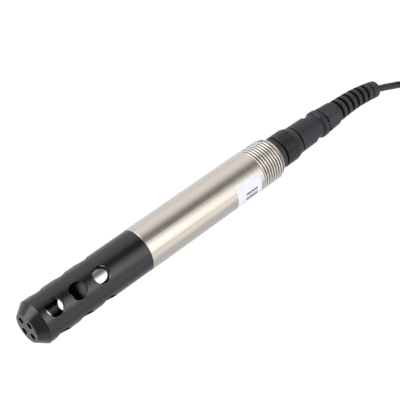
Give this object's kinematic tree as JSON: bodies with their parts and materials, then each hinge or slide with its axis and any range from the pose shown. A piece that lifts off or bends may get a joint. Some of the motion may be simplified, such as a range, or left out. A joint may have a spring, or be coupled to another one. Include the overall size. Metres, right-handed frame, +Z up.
{
  "type": "optical_dissolved_oxygen_sensor",
  "caption": "Stainless probe with a ported black guard, threaded end, pluggable cable with a ribbed bend relief, and its spare cable tied in a hank",
  "frame": {"origin": "under the middle of the length from the nose face to the end of the bend relief, on the surface that the tube lies on", "axes": "+X along the sensor, from the nose towards the cable, +Y across it, +Z up"},
  "size_m": [0.4529, 0.0521, 0.0287],
  "materials": {
    "guard_plastic": "matte",
    "cap_plastic": "satin",
    "foil": "satin",
    "seal_rubber": "matte",
    "polished_steel": "polished",
    "brushed_steel": "brushed",
    "machined_steel": "satin",
    "window_glass": "clear",
    "blue_lens": "gloss",
    "red_lens": "gloss",
    "chip_black": "matte",
    "board_green": "gloss",
    "carrier_plastic": "matte",
    "can_metal": "satin",
    "lead_red": "satin",
    "label_film": "satin",
    "connector_plastic": "satin",
    "contact_gold": "satin",
    "relief_rubber": "matte",
    "cable_jacket": "satin",
    "strap": "matte"
  },
  "bodies": {
    "probe": {"nose_barrel": "polished_steel", "optic_window": "window_glass", "optic_block": "cap_plastic", "blue_led": "blue_lens", "red_led": "red_lens", "photodiode": "chip_black", "optical_filter": "red_lens", "thermistor": "chip_black", "guard_seal": "seal_rubber", "body_tube": "brushed_steel", "label": "label_film", "threaded_end": "machined_steel", "main_board": "board_green", "front_carrier": "carrier_plastic", "rear_carrier": "carrier_plastic", "signal_chip": "chip_black", "converter_chip": "chip_black", "bus_chip": "chip_black", "board_capacitors": "can_metal", "sensor_header": "carrier_plastic", "cable_header": "carrier_plastic", "sensor_leads": "lead_red", "socket_leads": "lead_red", "panel_socket": "connector_plastic", "socket_pins": "contact_gold", "socket_seal": "seal_rubber"},
    "guard": {"guard": "guard_plastic"},
    "cap": {"sensing_cap": "cap_plastic", "sensing_foil": "foil", "cap_seal": "seal_rubber"},
    "plug": {"plug_body": "connector_plastic", "contact_insert": "connector_plastic", "plug_contacts": "contact_gold", "plug_seal": "seal_rubber", "cable_seal": "seal_rubber", "clamp_claw": "carrier_plastic", "back_nut": "connector_plastic", "bend_relief": "relief_rubber", "cable_tail": "cable_jacket", "cable": "cable_jacket", "cable_hank": "cable_jacket", "hank_tie": "strap", "cable_end": "cable_jacket", "cable_cores": "lead_red", "core_ferrules": "can_metal"},
    "ring": {"coupling_ring": "connector_plastic"}
  },
  "joints": [
    {"name": "guard_slide", "type": "slide", "parent": "probe", "child": "guard", "axis": [-1, 0, 0], "range_m": [0, 0.05]},
    {"name": "cap_slide", "type": "slide", "parent": "probe", "child": "cap", "axis": [-1, 0, 0], "range_m": [0, 0.01]},
    {"name": "plug_slide", "type": "slide", "parent": "probe", "child": "plug", "axis": [1, 0, 0], "range_m": [0, 0.012]},
    {"name": "ring_turn", "type": "hinge", "parent": "plug", "child": "ring", "pos_m": [0.0579, 0, 0.0135], "axis": [1, 0, 0], "range_deg": [0, 720]}
  ],
  "couplings": [
    {"joint": "ring_turn", "follows": "plug_slide", "rad_per_m": 1047.2}
  ]
}
